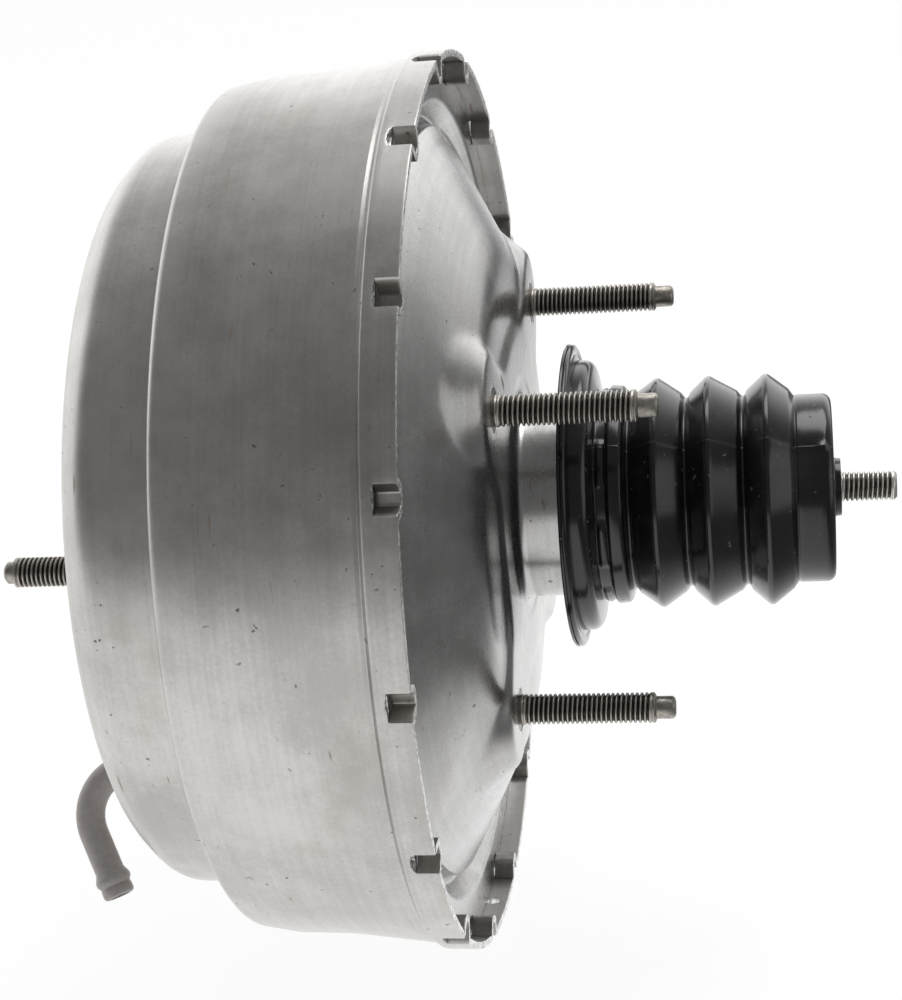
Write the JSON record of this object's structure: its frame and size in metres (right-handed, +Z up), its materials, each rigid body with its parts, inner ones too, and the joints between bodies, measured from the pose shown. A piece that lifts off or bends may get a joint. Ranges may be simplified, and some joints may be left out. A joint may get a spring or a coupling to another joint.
{
  "type": "brake booster",
  "caption": "Vacuum brake booster with two chambers in tandem, a stepped steel shell crimped round its rim, a vacuum nipple, mounting studs and a booted push rod.",
  "frame": {"origin": "centre of the rear mounting face, on the booster's axis", "axes": "+X along the axis towards the pedal, -X towards the master cylinder, +Z up as installed"},
  "size_m": [0.2332, 0.241, 0.241],
  "materials": {
    "shell_steel": "satin",
    "rear_steel": "satin",
    "plate_steel": "satin",
    "stud_steel": "dark phosphate",
    "rod_steel": "zinc plated",
    "spring_steel": "oiled",
    "rubber": "matte",
    "phenolic": "moulded",
    "nylon": "moulded",
    "felt": "felt"
  },
  "bodies": {
    "housing": {"front_shell": "shell_steel", "rear_shell": "rear_steel", "centre_plate": "plate_steel", "guide_ring": "nylon", "centre_seal": "rubber", "rear_studs": "stud_steel", "front_studs": "stud_steel", "backing_plate": "plate_steel", "spring_guide": "plate_steel", "output_rod_seal": "rubber", "return_spring": "spring_steel", "vacuum_nipple": "rod_steel", "body_seal": "rubber", "body_bearing": "nylon", "boot": "rubber", "front_diaphragm": "rubber", "rear_diaphragm": "rubber"},
    "power_piston": {"valve_body": "phenolic", "stop_key": "plate_steel", "front_plate": "plate_steel", "front_plate_nut": "plate_steel", "rear_plate": "plate_steel", "rear_plate_nut": "plate_steel", "reaction_disc": "rubber", "output_rod": "rod_steel", "output_adjuster": "rod_steel", "rod_retainer": "plate_steel", "poppet_valve": "rubber", "poppet_retainer": "plate_steel", "poppet_spring": "spring_steel", "rod_return_spring": "spring_steel", "silencer": "felt", "air_filter": "felt"},
    "input_rod": {"plunger": "rod_steel", "plunger_seal": "rubber", "input_rod": "rod_steel", "rod_spring_seat": "plate_steel"}
  },
  "joints": [
    {"name": "booster_stroke", "type": "slide", "parent": "housing", "child": "power_piston", "axis": [-1, 0, 0], "range_m": [0, 0.03], "stiffness_N_per_m": 3000, "springref_m": -0.03, "deforming": ["boot", "front_diaphragm", "rear_diaphragm", "return_spring"]},
    {"name": "valve_stroke", "type": "slide", "parent": "power_piston", "child": "input_rod", "axis": [-1, 0, 0], "range_m": [0, 0.002], "stiffness_N_per_m": 6000, "springref_m": -0.004, "deforming": ["poppet_valve", "poppet_spring", "rod_return_spring"]}
  ]
}
